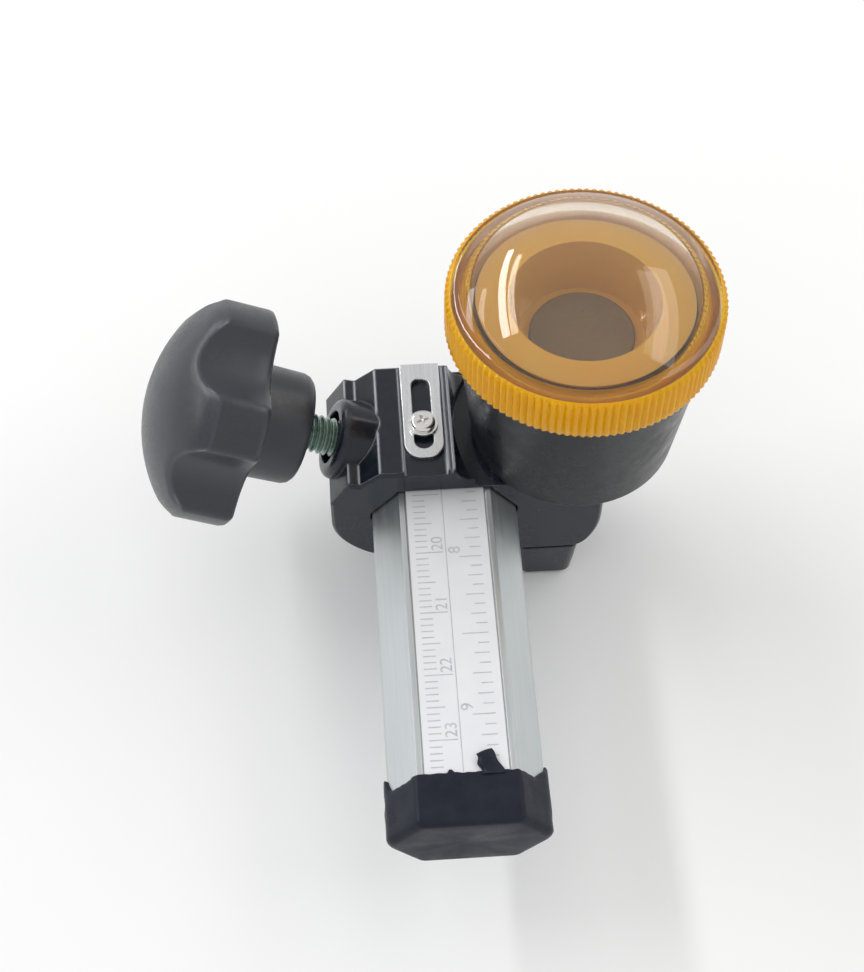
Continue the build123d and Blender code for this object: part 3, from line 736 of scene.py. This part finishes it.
sleeve.append([Vector((0, END_Y + END_DISH, 0)) * MM])
end_sleeve = loft("end_sleeve", sleeve, soft_vinyl, "beam", crisp=75)
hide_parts("end_cap")

# %% [markdown]
# The biggest tongue leans over the scale face, so it is its own small strip:
# a four-sided sheet with a slight curl, as thick as the sleeve.

# %% Torn tongue on the scale face
TONGUE = [(2.05, -68.1), (4.9, -68.1), (3.3, -64.6), (1.35, -65.3)]
tongue_rings = []
for k in range(13):
    t = k / 12
    left = Vector(TONGUE[0]).lerp(Vector(TONGUE[3]), t)
    right = Vector(TONGUE[1]).lerp(Vector(TONGUE[2]), t)
    left.x += 0.18 * math.sin(t * 9)
    right.x += 0.22 * math.sin(t * 7 + 1) + 0.35 * t * (1 - t) * 4
    thick = 0.42 * (1 - 0.45 * t)
    base_z = 6.22 + 0.5 * t * t
    ring = []
    for x_share, z_share in ((0, 0), (0.5, -0.1), (1, 0), (1.03, 0.5), (1, 1), (0.66, 1.15),
                             (0.33, 1.15), (0, 1), (-0.03, 0.5)):
        flat = left.lerp(right, x_share)
        curl = 0.25 * math.cos((x_share - 0.5) * 3)
        ring.append(Vector((flat.x, flat.y, base_z + max(z_share, 0) * thick + curl * t)) * MM)
    tongue_rings.append(ring)
tongue_rings.append([sum(tongue_rings[-1], Vector()) / 9])
tongue_rings.insert(0, [sum(tongue_rings[0], Vector()) / 9])
loft("torn_tongue", tongue_rings, soft_vinyl, "beam", crisp=70)

# %% [markdown]
# ## Printed scale
# Millimetres run down the left half of the tape and sixteenths of an inch
# down the right. Each tick is a very thin bar of ink, laid on the tape as
# geometry, so it stays sharp in any view. The numbers are generic digits.

# %% Ticks
INK_Z, INK_T, LINE_W = 6.105, 0.012, 0.17
SIXTEENTH = 25.4 / 16
ink = bmesh.new()


def tick(x0, x1, y, width=LINE_W):
    """A bar of ink from x0 to x1, its middle at y, in millimetres."""
    corners = [(x0, y - width / 2), (x1, y - width / 2),
               (x1, y + width / 2), (x0, y + width / 2)]
    low = [ink.verts.new((x * MM, v * MM, INK_Z * MM)) for x, v in corners]
    high = [ink.verts.new((x * MM, v * MM, (INK_Z + INK_T) * MM)) for x, v in corners]
    ink.faces.new(high)
    ink.faces.new(low[::-1])
    for i in range(4):
        j = (i + 1) % 4
        ink.faces.new((low[i], low[j], high[j], high[i]))


MM_FIRST, INCH_FIRST, TAPE_LOW, TAPE_HIGH = -27.6, -27.2, -67.4, -3.0
for i in range(-24, 45):
    y = MM_FIRST - i
    if TAPE_LOW < y < TAPE_HIGH:
        reach = -0.9 if i % 10 == 5 else (-2.3 if i % 5 == 0 else -3.1)
        tick(-4.9, reach, y)
for i in range(-15, 28):
    y = INCH_FIRST - i * SIXTEENTH
    if TAPE_LOW < y < TAPE_HIGH:
        reach = {0: 0.9, 8: 1.4, 4: 1.9, 12: 1.9}.get((i + 4) % 16, 3.0 if i % 2 else 2.4)
        tick(reach, 4.6, y)
tick(-0.56, -0.42, (TAPE_LOW + TAPE_HIGH) / 2, TAPE_HIGH - TAPE_LOW)
print("ink faces:", len(ink.faces))

# %% Numbers
def number(text, x, y, size):
    """Digits that read along +Y, laid on the tape."""
    curve = bpy.data.curves.new("digits", "FONT")
    curve.body, curve.size, curve.align_x = text, size * MM, "CENTER"
    curve.extrude = INK_T / 2 * MM
    holder = bpy.data.objects.new("digits", curve)
    bpy.context.collection.objects.link(holder)
    bpy.context.view_layer.update()
    flat = bpy.data.meshes.new_from_object(holder)
    flat.transform(Matrix.Translation((x * MM, y * MM, (INK_Z + INK_T / 2) * MM))
                   @ Matrix.Rotation(math.radians(90), 4, "Z"))
    ink.from_mesh(flat)
    bpy.data.objects.remove(holder)


for label, i in (("18", -15), ("19", -5), ("20", 5), ("21", 15), ("22", 25), ("23", 35)):
    number(label, -0.95, MM_FIRST - i + 1.5, 2.4)
for label, i in (("7", -12), ("8", 4), ("9", 20)):
    number(label, 1.55, INCH_FIRST - i * SIXTEENTH + 1.2, 2.5)
data = bpy.data.meshes.new("scale_marks")
ink.to_mesh(data)
ink.free()
data.materials.append(scale_ink)
scale_marks = bpy.data.objects.new("scale_marks", data)
bpy.context.collection.objects.link(scale_marks)
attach(scale_marks, "beam")
print("scale marks:", len(data.polygons), "faces")

# %% [markdown]
# ## Floor, light and camera
# The tool stands on a plain pale floor. Long lamps that run the same way as the
# beam give thin streaks on the dome and soft ones on the glossy black faces.

# %% Floor and world
floor_z = cad_box[0][2] - 0.2 * MM
floor_mesh = bpy.data.meshes.new("floor")
reach = 3000 * MM
floor_mesh.from_pydata([(-reach, -reach, floor_z), (reach, -reach, floor_z),
                        (reach, reach, floor_z), (-reach, reach, floor_z)], [], [(0, 1, 2, 3)])
floor = bpy.data.objects.new("floor", floor_mesh)
bpy.context.collection.objects.link(floor)
floor_finish, floor_tree, floor_shader = new_finish("pale_floor", Roughness=0.9)
floor_grain = put_group(floor_tree, grain, Scale=8.0, Low_Color=(0.95, 0.95, 0.95, 1),
                        High_Color=(0.97, 0.97, 0.97, 1), Low_Rough=0.85, High_Rough=0.95)
floor_tree.links.new(floor_grain.outputs["Color"], floor_shader.inputs["Base Color"])
floor_mesh.materials.append(floor_finish)
world = bpy.data.worlds.new("studio")
bpy.context.scene.world = world
world.use_nodes = True
world.node_tree.nodes["Background"].inputs["Color"].default_value = (1, 1, 1, 1)
world.node_tree.nodes["Background"].inputs["Strength"].default_value = 0.72

# %% Lights
def tube(name, place, size, power, turn, tint=(1, 1, 1)):
    """A flat lamp; turn is about the beam's own direction, in degrees."""
    lamp = bpy.data.lights.new(name, "AREA")
    lamp.shape, lamp.size, lamp.size_y = "RECTANGLE", size[0], size[1]
    lamp.energy, lamp.color = power, tint
    holder = bpy.data.objects.new(name, lamp)
    holder.location = Vector(place)
    holder.rotation_euler = (0, math.radians(turn), 0)
    bpy.context.collection.objects.link(holder)


tube("left_tube", (-0.67, 0.75, 0.75), (0.08, 1.5), 5.4, -42)
tube("far_left_tube", (-1.45, 0.5, 0.72), (0.12, 1.6), 3.2, -63, (0.96, 0.98, 1))
tube("right_tube", (0.85, 0.2, 0.80), (0.30, 1.2), 2.4, 46, (1, 0.99, 0.97))
print("three tubes")

# %% Camera
EYE = Vector((-11.5, -171.2, 237.8)) * MM
AZIMUTH, ELEVATION = math.radians(-3.7), math.radians(57.0)
LENS, SENSOR = 68.5185, 36
back = Vector((math.sin(AZIMUTH) * math.cos(ELEVATION),
               -math.cos(AZIMUTH) * math.cos(ELEVATION), math.sin(ELEVATION)))
right = Vector((0, 0, 1)).cross(back).normalized()
above = back.cross(right)
camera_data = bpy.data.cameras.new("camera")
camera_data.lens, camera_data.sensor_width = LENS, SENSOR
camera_data.clip_start = 0.01
camera = bpy.data.objects.new("camera", camera_data)
turn = Matrix((right, above, back)).transposed().to_4x4()
camera.matrix_world = Matrix.Translation(EYE) @ turn
bpy.context.collection.objects.link(camera)
bpy.context.scene.camera = camera
bpy.context.scene.view_settings.view_transform = "Standard"
print("camera at", tuple(round(c, 4) for c in EYE))
